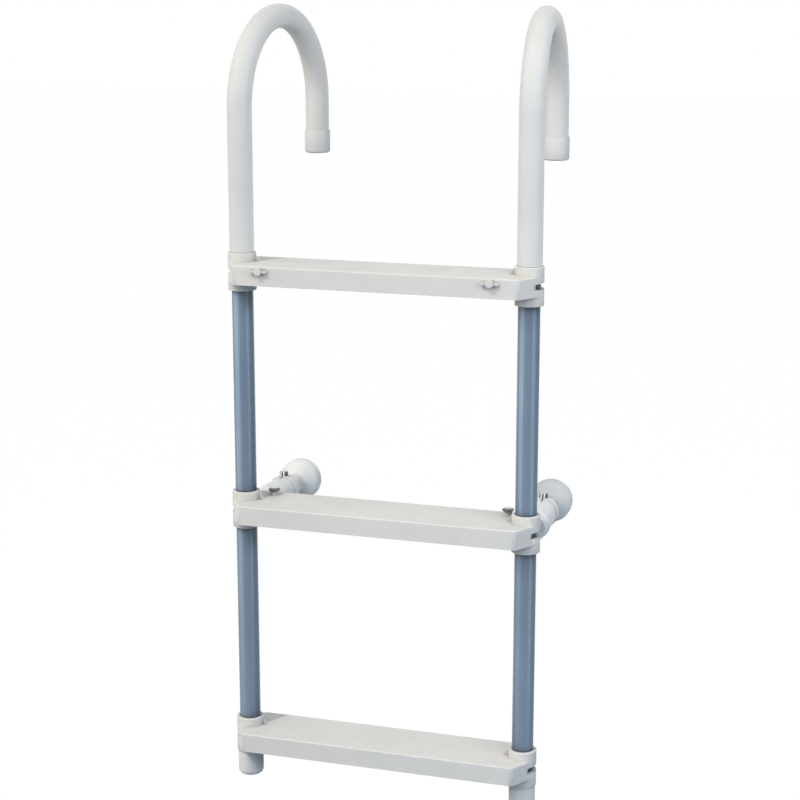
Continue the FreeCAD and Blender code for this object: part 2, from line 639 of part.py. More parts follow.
def make_pin(label, side):
    """The mushroom-headed pin that holds a stand-off in the middle step."""
    x = f"{side} * ({HALF_SPACING} - Sizes.pin_inset)"
    y = f"{RAIL_Y} + Sizes.pin_back"
    body = new_body(label, x=x, y=y, z=TREAD_Z["step_middle"])
    section = new_sketch(body, "XZ_Plane", f"{label}_section")
    stem, head = "Sizes.pin_diameter / 2", "Sizes.pin_head / 2"
    low, seat = "-Sizes.pin_length", "Sizes.pin_rise"
    edge, crown = f"{seat} + Sizes.pin_head_wall / 2", f"{seat} + Sizes.pin_head_wall"
    points = [("0", low), (stem, low), (stem, seat), (head, seat), (head, edge)]
    polygon(section, points + [("Sizes.pin_crown / 2", crown), ("0", crown)])
    revolve(body, section, f"{label}_turned")


def new_arm_body(label, side):
    """A sub-part on a stand-off's axis: its own Z is the rail's axis and its
    own Y is the stand-off's axis, turned inwards by the toe-in."""
    x, z = f"{side} * {HALF_SPACING}", f"{TREAD_Z['step_middle']} - Sizes.arm_drop"
    return new_body(label, x=x, y=RAIL_Y, z=z, turn=f"{side} * Sizes.arm_toe_in")


def make_bracket(label, side):
    """The moulded bracket: a tongue under the tread, a plate on the rear
    skirt, a beaded horn that ends in a split ring with ears, and a nose."""
    x, z = f"{side} * {HALF_SPACING}", f"{TREAD_Z['step_middle']} - Sizes.arm_drop"
    body = new_body(label, x=x, y=RAIL_Y, z=z)
    lean = f"{side} * Sizes.arm_toe_in"
    root_r, bead_r = "(Sizes.horn_root / 2)", "Sizes.horn_bead / 2"
    horn_x = f"(-{side} * tan(Sizes.arm_toe_in * 1 deg) * {PLATE_BACK})"
    far_side = f"(-{side} * (Sizes.pin_inset + Sizes.tongue_half))"
    near_side = f"(-{side} * (Sizes.pin_inset - Sizes.tongue_half))"
    tongue_top = "(Sizes.arm_drop - Sizes.tread_plate - Sizes.tongue_clearance)"
    tongue_low = f"({tongue_top} - Sizes.tongue_wall)"

    disc = new_sketch(body, "XZ_Plane", f"{label}_plate_circle", f"-{PLATE_FRONT}")
    circle(disc, horn_x, "0", f"{root_r} + Sizes.plate_margin")
    pad(body, disc, f"{label}_plate", "Sizes.bracket_plate", down=True)
    wing = new_sketch(body, "XZ_Plane", f"{label}_wing_outline", f"-{PLATE_FRONT}")
    rectangle(wing, far_side, horn_x, tongue_low, tongue_top)
    pad(body, wing, f"{label}_wing", "Sizes.bracket_plate", down=True)

    tongue = new_sketch(body, "XY_Plane", f"{label}_tongue_outline", tongue_low)
    front, back = "Sizes.pin_back - Sizes.tongue_half", f"{PLATE_FRONT} + Sizes.bracket_plate / 2"
    rectangle(tongue, far_side, near_side, front, back)
    pad(body, tongue, f"{label}_tongue", "Sizes.tongue_wall")
    hole = new_sketch(body, "XY_Plane", f"{label}_pin_hole_circle", tongue_low)
    hole_r = "Sizes.pin_diameter / 2 + Sizes.screw_clearance"
    circle(hole, f"-{side} * Sizes.pin_inset", "Sizes.pin_back", hole_r)
    pocket(body, hole, f"{label}_pin_hole", "Sizes.tongue_wall", up=True)

    section = new_sketch(body, "XY_Plane", f"{label}_horn_section", lean=lean)
    start = f"{PLATE_BACK} - Sizes.bracket_plate / 2"
    root_end = f"({PLATE_BACK} + Sizes.horn_root_length)"
    bead_start = f"({root_end} + Sizes.horn_shoulder)"
    bead_end = f"({bead_start} + Sizes.horn_bead_wall)"
    bore_r = "Sizes.shank_diameter / 2 + Sizes.shank_clearance"
    bore_end = f"{SHANK_START} - Sizes.shank_play"
    points = [("0", start), (root_r, start), (root_r, root_end), (bead_r, bead_start)]
    points += [(bead_r, bead_end), ("Sizes.horn_start / 2", bead_end)]
    points += [("Sizes.horn_end / 2", "Sizes.horn_reach"), (RING_R, "Sizes.horn_reach")]
    points += [(RING_R, RING_END), (CLAMP_R, RING_END)]
    points += [(CLAMP_R, CLAMP_END), (bore_r, CLAMP_END)]
    polygon(section, points + [(bore_r, bore_end), ("0", bore_end)])
    revolve(body, section, f"{label}_horn")

    ears = new_sketch(body, "XY_Plane", f"{label}_ear_outline", f"{RING_R} - Sizes.ear_root", lean)
    half = "(Sizes.clamp_slit / 2 + Sizes.ear_wall)"
    rectangle(ears, f"-{half}", half, f"{EAR_END} - Sizes.ear_length", EAR_END)
    pad(body, ears, f"{label}_ears", "Sizes.ear_root + Sizes.ear_rise")
    slit = new_sketch(body, "XY_Plane", f"{label}_slit_outline", lean=lean)
    slit_start = "Sizes.horn_reach - Sizes.slit_lead"
    rectangle(slit, "-Sizes.clamp_slit / 2", "Sizes.clamp_slit / 2", slit_start, CLAMP_END)
    pocket(body, slit, f"{label}_slit", f"{RING_R} + Sizes.ear_rise", up=True)
    bolt = new_sketch(body, "YZ_Plane", f"{label}_bolt_hole_circle", lean=lean)
    circle(bolt, BOLT_REACH, BOLT_HEIGHT, "Sizes.bolt_diameter / 2 + Sizes.screw_clearance")
    pocket(body, bolt, f"{label}_bolt_hole", "Sizes.horn_collar", middle=True)


def make_clamp_bolt(label, side):
    """The pinch bolt through the clamp's ears, with its round head and nut."""
    body = new_arm_body(label, side)
    half = "(Sizes.clamp_slit / 2 + Sizes.ear_wall + Sizes.screw_clearance)"
    shaft = new_sketch(body, "YZ_Plane", f"{label}_shaft_circle")
    circle(shaft, BOLT_REACH, BOLT_HEIGHT, "Sizes.bolt_diameter / 2")
    pad(body, shaft, f"{label}_shaft", f"2 * ({half} + Sizes.bolt_head_wall)", middle=True)
    head = new_sketch(body, "YZ_Plane", f"{label}_head_circle", half)
    circle(head, BOLT_REACH, BOLT_HEIGHT, "Sizes.bolt_head / 2")
    pad(body, head, f"{label}_head", "Sizes.bolt_head_wall")
    nut = new_sketch(body, "YZ_Plane", f"{label}_nut_outline", f"-{half}")
    corners = []
    for number in range(NUT_SIDES):
        angle = f"{360 * number / NUT_SIDES} * 1 deg"
        across = f"{BOLT_REACH} + Sizes.bolt_head / 2 * cos({angle})"
        upward = f"{BOLT_HEIGHT} + Sizes.bolt_head / 2 * sin({angle})"
        corners.append((across, upward))
    polygon(nut, corners)
    pad(body, nut, f"{label}_nut", "Sizes.bolt_head_wall", down=True)


def make_shank(label, side):
    """The hollow shank that slides in the clamp, with its flange."""
    body = new_arm_body(label, side)
    section = new_sketch(body, "XY_Plane", f"{label}_section")
    bore, outer, flange = "Sizes.shank_bore / 2", "Sizes.shank_diameter / 2", "Sizes.flange_diameter / 2"
    points = [(bore, SHANK_START), (outer, SHANK_START), (outer, FLANGE_START)]
    points += [(flange, FLANGE_START), (flange, FLANGE_END), (bore, FLANGE_END)]
    polygon(section, points)
    revolve(body, section, f"{label}_turned")


def make_hull_pad(label, side):
    """The round pad: a flaring back, a rim and a flat face for the hull."""
    body = new_arm_body(label, side)
    section = new_sketch(body, "XY_Plane", f"{label}_section")
    rim_r, neck = "Sizes.pad_diameter / 2", "Sizes.pad_neck / 2"
    rim_start = f"{PAD_FACE} - Sizes.pad_rim"
    flare = (f"{neck} + Sizes.pad_neck_flare", f"{FLANGE_END} + Sizes.pad_neck_length")
    shoulder = (f"{rim_r} - Sizes.pad_shoulder", f"{rim_start} - Sizes.pad_shoulder_length")
    points = [("0", FLANGE_END), (neck, FLANGE_END), flare, shoulder, (rim_r, rim_start)]
    polygon(section, points + [(rim_r, PAD_FACE), ("0", PAD_FACE)])
    revolve(body, section, f"{label}_turned")
    face = size(PAD_FACE)
    soften(body, "Fillet", f"{label}_round", lambda e, m: near(m.y, face), "Sizes.pad_round")


# The whole ladder

for step in TREAD_Z:
    make_step(step)
top_step, middle_step = bodies[0], bodies[1]
bore_front_skirt(top_step)
pin_hole_r = "Sizes.pin_diameter / 2 + Sizes.screw_clearance"
pin_x = f"{HALF_SPACING} - Sizes.pin_inset"
bore_tread(middle_step, "pin_holes", pin_x, "Sizes.pin_back", pin_hole_r)
notch_rear_skirt(middle_step)

HOOK_TUBE = (RAIL_R, f"{RAIL_R} - Sizes.rail_wall")
HOOK_SLEEVE = ("Sizes.sleeve_diameter / 2", f"{RAIL_R} + Sizes.sleeve_clearance")
for name, side in SIDES.items():
    make_rail(f"rail_{name}", side)
    make_foot(f"foot_cap_{name}", side)
    make_knob(f"hook_lock_knob_{name}", side)
    make_spigot(f"hook_pivot_{name}", side)
    make_bent_tube(f"hook_tube_{name}", side, *HOOK_TUBE)
    make_bent_tube(f"hook_sleeve_{name}", side, *HOOK_SLEEVE)
    make_hook_cap(f"hook_cap_{name}", side)
    make_pin(f"standoff_pin_{name}", side)
    make_bracket(f"standoff_bracket_{name}", side)
    make_clamp_bolt(f"clamp_bolt_{name}", side)
    make_shank(f"standoff_shank_{name}", side)
    make_hull_pad(f"hull_pad_{name}", side)

doc.recompute()
for item in doc.Objects:
    if "Invalid" in item.State or "Error" in item.State:
        raise RuntimeError(f"{item.Label} failed: {item.State}")
os.makedirs("parts", exist_ok=True)
for body in bodies:
    shape = body.Shape
    if shape.isNull() or not shape.isValid() or len(shape.Solids) != 1:
        raise RuntimeError(f"{body.Label} is not one valid solid")
    shape.exportStep(f"parts/{body.Label}.step")
    print(f"{body.Label}: {shape.Volume / 1000:.1f} cm3")
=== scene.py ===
"""Looks of the portable gunwale ladder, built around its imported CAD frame.

Lengths are metres. The user climbs on the -Y side: +X runs along the steps to the right-hand rail,
+Y inboard over the gunwale, and +Z up along the rails.
"""

import math

import bmesh
import bpy
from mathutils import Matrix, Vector


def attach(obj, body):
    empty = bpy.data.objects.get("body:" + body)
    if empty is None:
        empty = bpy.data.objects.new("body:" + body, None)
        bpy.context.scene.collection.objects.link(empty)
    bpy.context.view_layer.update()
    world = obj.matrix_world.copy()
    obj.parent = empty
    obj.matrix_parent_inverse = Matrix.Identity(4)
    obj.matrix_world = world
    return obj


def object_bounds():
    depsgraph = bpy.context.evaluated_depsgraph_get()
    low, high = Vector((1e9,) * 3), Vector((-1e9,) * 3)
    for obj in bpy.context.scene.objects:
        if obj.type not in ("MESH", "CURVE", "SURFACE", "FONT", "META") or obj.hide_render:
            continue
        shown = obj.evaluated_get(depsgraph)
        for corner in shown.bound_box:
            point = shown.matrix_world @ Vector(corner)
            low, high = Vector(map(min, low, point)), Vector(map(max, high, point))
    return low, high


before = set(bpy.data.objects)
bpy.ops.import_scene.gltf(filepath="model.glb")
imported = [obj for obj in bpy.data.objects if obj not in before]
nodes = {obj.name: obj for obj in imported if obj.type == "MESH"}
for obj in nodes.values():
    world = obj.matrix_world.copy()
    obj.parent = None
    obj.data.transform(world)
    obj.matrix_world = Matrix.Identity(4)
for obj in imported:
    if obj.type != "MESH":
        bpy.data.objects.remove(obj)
cad_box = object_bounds()
collection = bpy.context.scene.collection

SIDES = ("left", "right")
STEPS = ("step_top", "step_middle", "step_bottom")

# Way toward the sun: its azimuth counts from -Y toward +X, its height from the horizon
SUN_AZIMUTH = math.radians(-32)
SUN_HEIGHT = math.radians(53)
TO_SUN = Vector((
    math.sin(SUN_AZIMUTH) * math.cos(SUN_HEIGHT),
    -math.cos(SUN_AZIMUTH) * math.cos(SUN_HEIGHT),
    math.sin(SUN_HEIGHT),
))


# Node materials

# Sockets of a Mix node set to colours: its first colour, its second and its result
MIX_FIRST, MIX_SECOND, MIX_RESULT = 6, 7, 2
OCCLUSION_SAMPLES = 4

# Cosine between a face and the way toward the sun: the painted sun shade fades in from the first to the
# second
TURNED_AWAY, TURNED_TOWARD = -0.5, -0.2


def times(colour, factors):
    """The colour with each channel times its factor."""
    return tuple(value * factor for value, factor in zip(colour, factors))


class Look:
    """One procedural material: a Principled shader and helpers that feed it."""

    def __init__(self, name, metallic=0.0, specular=0.5):
        self.material = bpy.data.materials.new(name)
        self.material.use_nodes = True
        self.tree = self.material.node_tree
        self.shader = self.tree.nodes["Principled BSDF"]
        self.shader.inputs["Metallic"].default_value = metallic
        self.shader.inputs["Specular IOR Level"].default_value = specular
        self.coords = self.node("ShaderNodeTexCoord").outputs["Object"]
        self.bumps = None

    def node(self, kind, **settings):
        made = self.tree.nodes.new(kind)
        for key, value in settings.items():
            setattr(made, key, value)
        return made

    def link(self, source, target):
        self.tree.links.new(source, target)

    def subsurface(self, weight, depth):
        """Light that enters the surface leaves it up to this depth away, alike in all colours."""
        self.shader.inputs["Subsurface Weight"].default_value = weight
        self.shader.inputs["Subsurface Radius"].default_value = (1.0, 1.0, 1.0)
        self.shader.inputs["Subsurface Scale"].default_value = depth

    def stretched(self, factors):
        """Object coordinates times a factor along each axis."""
        mapping = self.node("ShaderNodeMapping")
        mapping.inputs["Scale"].default_value = factors
        self.link(self.coords, mapping.inputs["Vector"])
        return mapping.outputs["Vector"]

    def noise(self, scale, detail, roughness=0.5, vector=None):
        made = self.node("ShaderNodeTexNoise")
        made.inputs["Scale"].default_value = scale
        made.inputs["Detail"].default_value = detail
        made.inputs["Roughness"].default_value = roughness
        self.link(vector or self.coords, made.inputs["Vector"])
        return made.outputs["Fac"]

    def ramp(self, value, low, high, to_low=0.0, to_high=1.0):
        """Moves smoothly from to_low to to_high as the value goes from low to high."""
        made = self.node("ShaderNodeMapRange", interpolation_type="SMOOTHSTEP")
        limits = {"From Min": low, "From Max": high, "To Min": to_low, "To Max": to_high}
        for socket, number in limits.items():
            made.inputs[socket].default_value = number
        self.link(value, made.inputs["Value"])
        return made.outputs["Result"]

    def maths(self, operation, first, second):
        """Combines two values, each a number or a socket."""
        made = self.node("ShaderNodeMath", operation=operation)
        for socket, value in zip(made.inputs, (first, second)):
            if isinstance(value, (int, float)):
                socket.default_value = value
            else:
                self.link(value, socket)
        return made.outputs["Value"]

    def mix(self, share, first, second):
        """Mixes two colours, each a triple or a socket."""
        made = self.node("ShaderNodeMix", data_type="RGBA")
        self.link(share, made.inputs["Factor"])
        for socket, value in ((made.inputs[MIX_FIRST], first), (made.inputs[MIX_SECOND], second)):
            if isinstance(value, tuple):
                socket.default_value = (*value, 1.0)
            else:
                self.link(value, socket)
        return made.outputs[MIX_RESULT]

    def bump(self, height, strength, distance):
        """Adds a relief on top of those added before it."""
        made = self.node("ShaderNodeBump")
        made.inputs["Strength"].default_value = strength
        made.inputs["Distance"].default_value = distance
        self.link(height, made.inputs["Height"])
        if self.bumps:
            self.link(self.bumps, made.inputs["Normal"])
        self.bumps = made.outputs["Normal"]
        self.link(self.bumps, self.shader.inputs["Normal"])

    def colour(self, socket):
        self.link(socket, self.shader.inputs["Base Color"])

    def rough(self, socket):
        self.link(socket, self.shader.inputs["Roughness"])

    def occlusion(self, reach):
        made = self.node("ShaderNodeAmbientOcclusion")
        made.samples = OCCLUSION_SAMPLES
        made.inputs["Distance"].default_value = reach
        return made

    def face_normal(self):
        return self.node("ShaderNodeNewGeometry").outputs["True Normal"]

    def openness(self, reach, low, high):
        """0 deep in corners and between ribs, 1 in the open."""
        return self.ramp(self.occlusion(reach).outputs["AO"], low, high)

    def painted_sun_shade(self, reach, low, high):
        """Mask for painted sun shade: 1 where something near closes the way toward the sun, 0 in the open
        and on the far side.
        """
        way = self.node("ShaderNodeCombineXYZ")
        for socket, value in zip(way.inputs, TO_SUN):
            socket.default_value = value
        near = self.occlusion(reach)
        self.link(way.outputs["Vector"], near.inputs["Normal"])
        facing = self.node("ShaderNodeVectorMath", operation="DOT_PRODUCT")
        self.link(self.face_normal(), facing.inputs[0])
        self.link(way.outputs["Vector"], facing.inputs[1])
        closed = self.ramp(near.outputs["AO"], low, high, to_low=1.0, to_high=0.0)
        toward = self.ramp(facing.outputs["Value"], TURNED_AWAY, TURNED_TOWARD)
        return self.maths("MULTIPLY", closed, toward)


# White plastics

PLASTIC_SPECULAR = 0.3
SUBSURFACE_WEIGHT, SUBSURFACE_DEPTH = 0.2, 0.003
MOTTLING_SCALE, PATCH_SCALE, WAVE_SCALE = 14.0, 60.0, 25.0
# Reach of the occlusion that puts dust and painted shade in corners, and reach of the painted sun shade
DUST_AND_SHADE_REACH = 0.018
PAINTED_SHADE_REACH = 0.05
GRAIN_DEPTH = 0.00012
WAVE_DEPTH, WAVE_STRENGTH = 0.0004, 0.25

# How far the roughness falls and rises in patches
SMOOTHER_BY, ROUGHER_BY = 0.08, 0.1

# Scale of the specks as a share of the grain's, and the most that they show
SPECK_SCALE, SPECK_SHARE = 0.6, 0.35

# What specks, dust with painted corner shade, and the painted sun shade do to the shaded tone
SPECK_TINT = (0.86, 0.86, 0.86)
DUST_AND_SHADE_TINT = (0.62, 0.61, 0.58)
PAINTED_SHADE_TINT = (0.50, 0.56, 0.64)


def white_plastic(name, light, shade, roughness=0.5, grain=700.0, relief=0.35, dust_and_shade=0.8, painted_shade_share=1.0):
    """Moulded plastic: soft mottling, fine grain, dust and painted shade in its corners, and a cooler
    painted shade where something near closes the way toward the sun.
    """
    look = Look(name, specular=PLASTIC_SPECULAR)
    look.subsurface(SUBSURFACE_WEIGHT, SUBSURFACE_DEPTH)
    mottling = look.ramp(look.noise(MOTTLING_SCALE, detail=4.0), low=0.35, high=0.68)
    tone = look.mix(mottling, light, shade)
    specks = look.noise(grain * SPECK_SCALE, detail=2.0)
    specks = look.ramp(specks, low=0.62, high=0.78, to_high=SPECK_SHARE)
    tone = look.mix(specks, tone, times(shade, SPECK_TINT))
    # Dust and painted shade in corners: darker where the occlusion finds close surroundings
    closed_in = look.maths("SUBTRACT", 1.0, look.openness(DUST_AND_SHADE_REACH, low=0.25, high=0.85))
    tone = look.mix(look.maths("MULTIPLY", closed_in, dust_and_shade), tone, times(shade, DUST_AND_SHADE_TINT))
    # Painted sun shade: a cooler, darker tone where something near closes the way toward the sun
    painted_shade_mask = look.painted_sun_shade(PAINTED_SHADE_REACH, low=0.06, high=0.46)
    tone = look.mix(look.maths("MULTIPLY", painted_shade_mask, painted_shade_share), tone, times(shade, PAINTED_SHADE_TINT))
    look.colour(tone)
    patches = look.noise(PATCH_SCALE, detail=3.0)
    smoothest, roughest = roughness - SMOOTHER_BY, roughness + ROUGHER_BY
    look.rough(look.ramp(patches, low=0.3, high=0.7, to_low=smoothest, to_high=roughest))
    look.bump(look.noise(grain, detail=3.0, roughness=0.6), relief, GRAIN_DEPTH)
    look.bump(look.noise(WAVE_SCALE, detail=2.0), WAVE_STRENGTH, WAVE_DEPTH)
    return look.material


# Rail metal

CLOUD_SCALE = 9.0
STREAK_FACTORS = (900.0, 900.0, 9.0)
SCRATCH_FACTORS = (2600.0, 2600.0, 60.0)
STREAK_SHARE, SCRATCH_SHARE = 0.3, 0.2
STREAK_DEPTH, STREAK_STRENGTH = 0.00006, 0.12

# What streaks and the painted sun shade do to the shaded tone, and scratches to the light one
STREAK_TINT = (0.82, 0.82, 0.82)
RAIL_PAINTED_SHADE_TINT = (0.40, 0.40, 0.40)
SCRATCH_TINT = (1.5, 1.5, 1.5)

# Painted shade where a rail enters its collars
PAINTED_CONTACT_SHADE = (0.035, 0.04, 0.05)
CONTACT_SHADE_REACH = 0.02


def anodised(name, light, shade):
    """Drawn and anodised tube: streaks and fine scratches along it, darker with painted shade out of the
    sun and where it enters its collars.
    """
    look = Look(name, metallic=0.72, specular=0.4)
    streaks = look.noise(scale=1.0, detail=5.0, roughness=0.65, vector=look.stretched(STREAK_FACTORS))
    clouds = look.ramp(look.noise(CLOUD_SCALE, detail=4.0), low=0.3, high=0.7)
    tone = look.mix(clouds, light, shade)
    dull = look.ramp(streaks, low=0.35, high=0.75, to_high=STREAK_SHARE)
    tone = look.mix(dull, tone, times(shade, STREAK_TINT))
    scratches = look.noise(scale=1.0, detail=2.0, roughness=0.4, vector=look.stretched(SCRATCH_FACTORS))
    scratches = look.ramp(scratches, low=0.7, high=0.78, to_high=SCRATCH_SHARE)
    tone = look.mix(scratches, tone, times(light, SCRATCH_TINT))
    # Painted sun shade: darker where something near closes the way toward the sun
    painted_shade_mask = look.painted_sun_shade(PAINTED_SHADE_REACH, low=0.24, high=0.64)
    tone = look.mix(painted_shade_mask, tone, times(shade, RAIL_PAINTED_SHADE_TINT))
    # Painted shade: nearly black where the rail enters its collars
    tone = look.mix(look.openness(CONTACT_SHADE_REACH, low=0.55, high=0.95), PAINTED_CONTACT_SHADE, tone)
    look.colour(tone)
    look.rough(look.ramp(streaks, low=0.3, high=0.7, to_low=0.27, to_high=0.40))
    look.bump(streaks, STREAK_STRENGTH, STREAK_DEPTH)
    return look.material


# Steel fasteners

STAIN_SCALE, WEAR_SCALE, PITTING_SCALE = 220.0, 400.0, 900.0
STAIN_TINT = (0.6, 0.6, 0.6)
PITTING_DEPTH, PITTING_STRENGTH = 0.00005, 0.2


def steel(name, tone, painted_highlight=None):
    """Stainless fasteners, a little dulled; the optional paler colour is a highlight painted on the
    upward-facing top of a head.
    """
    look = Look(name, metallic=1.0)
    stains = look.ramp(look.noise(STAIN_SCALE, detail=4.0), low=0.3, high=0.7)
    shown = look.mix(stains, tone, times(tone, STAIN_TINT))
    # Painted highlight: the upward-facing top of the head is paler
    if painted_highlight:
        upward = look.node("ShaderNodeSeparateXYZ")
        look.link(look.face_normal(), upward.inputs[0])
        shown = look.mix(look.ramp(upward.outputs["Z"], low=0.86, high=0.95), shown, painted_highlight)
    look.colour(shown)
    look.rough(look.ramp(look.noise(WEAR_SCALE, detail=3.0), low=0.3, high=0.7, to_low=0.28, to_high=0.5))
    look.bump(look.noise(PITTING_SCALE, detail=2.0), PITTING_STRENGTH, PITTING_DEPTH)
    return look.material


# Finish of each node

STEP_WHITE = white_plastic("step_white", light=(0.685, 0.658, 0.605), shade=(0.648, 0.622, 0.575))
SLEEVE_WHITE = white_plastic(
    "sleeve_white", light=(0.685, 0.662, 0.618), shade=(0.652, 0.630, 0.590),
    roughness=0.42, grain=1100.0, relief=0.15, dust_and_shade=0.3, painted_shade_share=0.0,
)
CAP_WHITE = white_plastic(
    "cap_white", light=(0.68, 0.662, 0.625), shade=(0.645, 0.628, 0.595), roughness=0.48,
)
BRACKET_WHITE = white_plastic(
    "bracket_white", light=(0.74, 0.725, 0.69), shade=(0.70, 0.685, 0.655), roughness=0.46, dust_and_shade=1.4,
)
PAD_WHITE = white_plastic(
    "pad_white", light=(0.78, 0.76, 0.715), shade=(0.74, 0.72, 0.68), roughness=0.62, grain=900.0,
)
KNOB_CREAM = white_plastic(
    "knob_cream", light=(0.66, 0.63, 0.58), shade=(0.60, 0.57, 0.53), roughness=0.45, painted_shade_share=0.2,
)
PIVOT_GREY = white_plastic("pivot_grey", light=(0.52, 0.52, 0.51), shade=(0.46, 0.46, 0.45))
RAIL_METAL = anodised("rail_metal", light=(0.190, 0.256, 0.332), shade=(0.165, 0.222, 0.290))
PIN_STEEL = steel("pin_steel", (0.24, 0.235, 0.23), painted_highlight=(0.66, 0.66, 0.64))
BOLT_STEEL = steel("bolt_steel", (0.14, 0.14, 0.145))

FINISHES = {step: STEP_WHITE for step in STEPS}
for side in SIDES:
    FINISHES.update({
        f"rail_{side}": RAIL_METAL,
        f"foot_cap_{side}": CAP_WHITE,
        f"hook_lock_knob_{side}": KNOB_CREAM,
        f"hook_pivot_{side}": PIVOT_GREY,
        f"hook_tube_{side}": RAIL_METAL,
        f"hook_sleeve_{side}": SLEEVE_WHITE,
        f"hook_cap_{side}": CAP_WHITE,
        f"standoff_pin_{side}": PIN_STEEL,
        f"standoff_bracket_{side}": BRACKET_WHITE,
        f"clamp_bolt_{side}": BOLT_STEEL,
        f"standoff_shank_{side}": BRACKET_WHITE,
        f"hull_pad_{side}": PAD_WHITE,
    })

# Widths of the bevels, by the start of a node's name: moulded and turned edges catch the light
BEVELS = {
    "step": 0.0003,
    "standoff_bracket": 0.0004,
    "hook_cap": 0.0003,
    "foot_cap": 0.0004,
    "hull_pad": 0.0006,
    "standoff_shank": 0.0004,
    "hook_lock_knob": 0.0004,
    "standoff_pin": 0.0003,
    "clamp_bolt": 0.0002,
}
WELD_DISTANCE = 1e-6
BEVEL_SEGMENTS = 2
BEVEL_ANGLE = math.radians(35)


def soften(obj, width):
    """Bevels the sharp edges of a node's object."""
    weld = obj.modifiers.new("weld", "WELD")
    weld.merge_threshold = WELD_DISTANCE
    bevel = obj.modifiers.new("bevel", "BEVEL")
    bevel.width = width
    bevel.segments = BEVEL_SEGMENTS
    bevel.limit_method = "ANGLE"
    bevel.angle_limit = BEVEL_ANGLE
    bevel.harden_normals = True


for name, obj in nodes.items():
    obj.data.materials.clear()
    obj.data.materials.append(FINISHES[name])
    for start, width in BEVELS.items():
        if name.startswith(start):
            soften(obj, width)


# Plastic bushes that carry the heads of the stand-off pins above the middle tread

# Height of the tread on which they stand
STEP_MIDDLE_TOP = -0.4785
BUSH_RADIUS, BUSH_HEIGHT, BUSH_CHAMFER, BUSH_BORE_RADIUS = 0.0043, 0.0046, 0.0006, 0.0025
BUSH_SIDES = 48
BUSH_PROFILE = [
    (BUSH_BORE_RADIUS, 0.0),
    (BUSH_RADIUS, 0.0),
    (BUSH_RADIUS, BUSH_HEIGHT - BUSH_CHAMFER),
    (BUSH_RADIUS - BUSH_CHAMFER, BUSH_HEIGHT),
    (BUSH_BORE_RADIUS, BUSH_HEIGHT),
]


def lathe(name, profile, sides, centre):
    """A closed ring turned about Z from (radius, height) points."""
    work = bmesh.new()
    rings = []
    for number in range(sides):
        turn = 2 * math.pi * number / sides
        rings.append([
            work.verts.new((centre.x + r * math.cos(turn), centre.y + r * math.sin(turn), centre.z + z))
            for r, z in profile
        ])
    for number in range(sides):
        here, after = rings[number], rings[(number + 1) % sides]
        for point in range(len(profile)):
            follow = (point + 1) % len(profile)
            work.faces.new((here[point], after[point], after[follow], here[follow]))
    bmesh.ops.recalc_face_normals(work, faces=work.faces)
    made = bpy.data.meshes.new(name)
    work.to_mesh(made)
    work.free()
    piece = bpy.data.objects.new(name, made)
    collection.objects.link(piece)
    return piece


def middle_of(obj):
    corners = [obj.matrix_world @ Vector(corner) for corner in obj.bound_box]
    return sum(corners, Vector()) / len(corners)


for side in SIDES:
    pin = middle_of(nodes[f"standoff_pin_{side}"])
    seat = Vector((pin.x, pin.y, STEP_MIDDLE_TOP))
    bush = lathe(f"pin_bush_{side}", BUSH_PROFILE, BUSH_SIDES, seat)
    bush.data.materials.append(STEP_WHITE)
    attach(bush, "ladder")


# Camera, fitted to the photograph

CAMERA_PLACE = (0.59005, -1.88803, 0.07460)
CAMERA_SIGHT = 60.0

# Degrees by which it looks down and turns to the left
CAMERA_DOWN, CAMERA_TURN = 13.03, 17.64

# Millimetres, as lenses and sensors are sold
LENS, SENSOR_WIDTH = 86.79, 36.0

camera_data = bpy.data.cameras.new("camera")
camera_data.sensor_width = SENSOR_WIDTH
camera_data.lens = LENS
camera_data.clip_end = CAMERA_SIGHT
camera = bpy.data.objects.new("camera", camera_data)
camera.location = CAMERA_PLACE
camera.rotation_euler = (math.radians(90 - CAMERA_DOWN), 0.0, math.radians(CAMERA_TURN))
collection.objects.link(camera)
bpy.context.scene.camera = camera


# Lamps: a sun, and soft lamps around the part that even out its light

# Watts per square metre
SUN_STRENGTH = 1.3
SUN_WIDTH = math.radians(1.2)
SUN_COLOUR = (1.0, 0.985, 0.95)

# Each lamp's place, aim, width and height, watts, colour, and whether surfaces mirror it
SOFT_LAMPS = {
    "upper_right": ((1.0, -0.9, 0.38), (0.0, 0.0, 0.0), (0.8, 0.8), 9.0, (0.88, 0.93, 1.0), False),
    "tall_right": ((1.6, -0.6, -0.1), (0.0, 0.0, -0.25), (0.8, 2.4), 6.0, (0.84, 0.92, 1.0), True),
    "tall_left": ((-1.85, -1.1, 0.1), (0.0, 0.0, -0.15), (2.5, 3.0), 27.0, (1.0, 0.98, 0.94), True),
    "upper_front": ((-0.2, -1.7, 0.5), (0.0, 0.0, 0.0), (0.9, 0.6), 3.5, (1.0, 0.95, 0.88), False),
    "lower_front": ((0.6, -1.2, -0.9), (0.0, 0.0, -0.6), (0.8, 0.8), 2.6, (0.22, 0.52, 1.0), False),
    "rear": ((0.9, 1.2, 0.1), (0.0, 0.0, -0.3), (0.9, 1.6), 4.0, (0.85, 0.92, 1.0), False),
}


def add_lamp(name, kind, energy, colour, backward, mirrored):
    """A lamp that shines away from the backward direction and doesn't show to the camera."""
    data = bpy.data.lights.new(name, kind)
    data.energy = energy
    data.color = colour
    lamp = bpy.data.objects.new(name, data)
    lamp.rotation_mode = "QUATERNION"
    lamp.rotation_quaternion = backward.to_track_quat("Z", "Y")
    lamp.visible_camera = False
    lamp.visible_glossy = mirrored
    collection.objects.link(lamp)
    return lamp


sun = add_lamp("key", "SUN", SUN_STRENGTH, SUN_COLOUR, TO_SUN, False)
sun.data.angle = SUN_WIDTH

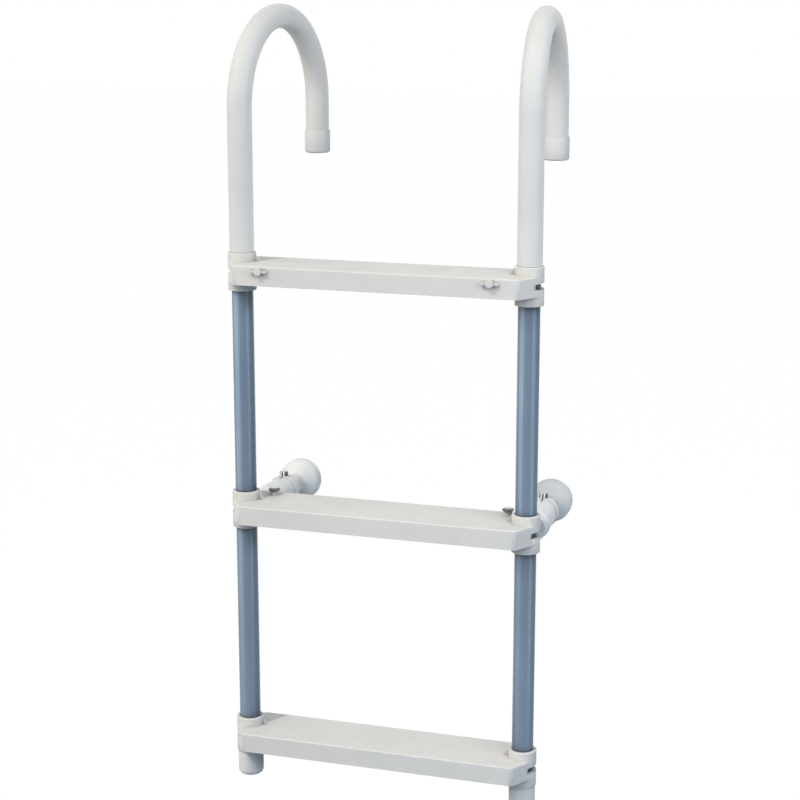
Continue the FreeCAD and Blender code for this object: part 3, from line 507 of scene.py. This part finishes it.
for name, (place, aim, size, energy, colour, mirrored) in SOFT_LAMPS.items():
    lamp = add_lamp(name, "AREA", energy, colour, Vector(place) - Vector(aim), mirrored)
    lamp.location = place
    lamp.data.shape = "RECTANGLE"
    lamp.data.size, lamp.data.size_y = size


# World and floor: white where they are seen or mirrored, and a plain light elsewhere

WHITE = (1.0, 1.0, 1.0, 1.0)
SKY_COLOUR, SKY_STRENGTH = (0.79, 0.88, 1.0, 1.0), 0.40
FLOOR_COLOUR, FLOOR_GLOW = (0.2, 0.2, 0.2, 1.0), 0.86
SEEN_RAYS = ("Is Camera Ray", "Is Glossy Ray", "Is Transmission Ray")


def emptied_tree(owner):
    owner.use_nodes = True
    owner.node_tree.nodes.clear()
    return owner.node_tree


def shader(tree, kind, **values):
    made = tree.nodes.new(kind)
    for socket, value in values.items():
        made.inputs[socket].default_value = value
    return made


def finish_tree(tree, output_kind, unseen, seen):
    """Sends the seen shader to rays that show the surface, and the unseen one to all others."""
    paths = tree.nodes.new("ShaderNodeLightPath")
    is_seen = paths.outputs[SEEN_RAYS[0]]
    for kind in SEEN_RAYS[1:]:
        either = tree.nodes.new("ShaderNodeMath")
        either.operation = "MAXIMUM"
        tree.links.new(is_seen, either.inputs[0])
        tree.links.new(paths.outputs[kind], either.inputs[1])
        is_seen = either.outputs[0]
    choice = tree.nodes.new("ShaderNodeMixShader")
    tree.links.new(is_seen, choice.inputs["Fac"])
    tree.links.new(unseen.outputs[0], choice.inputs[1])
    tree.links.new(seen.outputs[0], choice.inputs[2])
    output = tree.nodes.new(output_kind)
    tree.links.new(choice.outputs[0], output.inputs["Surface"])


def studio_world():
    """Faint bluish light from all around, and plain white behind the part."""
    world = bpy.data.worlds.new("studio")
    tree = emptied_tree(world)
    sky = shader(tree, "ShaderNodeBackground", Color=SKY_COLOUR, Strength=SKY_STRENGTH)
    backdrop = shader(tree, "ShaderNodeBackground", Color=WHITE, Strength=1.0)
    finish_tree(tree, "ShaderNodeOutputWorld", unseen=sky, seen=backdrop)
    return world


def floor_material():
    """Pale floor: grey for the light that it bounces, with a glow that makes it white where it shows."""
    material = bpy.data.materials.new("pale_floor")
    tree = emptied_tree(material)
    grey = shader(tree, "ShaderNodeBsdfDiffuse", Color=FLOOR_COLOUR)
    glow = shader(tree, "ShaderNodeEmission", Strength=FLOOR_GLOW)
    white = tree.nodes.new("ShaderNodeAddShader")
    tree.links.new(grey.outputs[0], white.inputs[0])
    tree.links.new(glow.outputs[0], white.inputs[1])
    finish_tree(tree, "ShaderNodeOutputMaterial", unseen=grey, seen=white)
    return material


bpy.context.scene.world = studio_world()

# The floor lies well below the feet, so that the part's shadow falls outside the picture
FLOOR_DROP = 1.1
FLOOR_REACH = 25.0

floor_z = cad_box[0].z - FLOOR_DROP
corners = [(-1, -1), (1, -1), (1, 1), (-1, 1)]
floor_mesh = bpy.data.meshes.new("floor")
floor_mesh.from_pydata(
    [(x * FLOOR_REACH, y * FLOOR_REACH, floor_z) for x, y in corners], [], [(0, 1, 2, 3)],
)
floor = bpy.data.objects.new("floor", floor_mesh)
floor.data.materials.append(floor_material())
collection.objects.link(floor)

bpy.context.scene.view_settings.view_transform = "Standard"
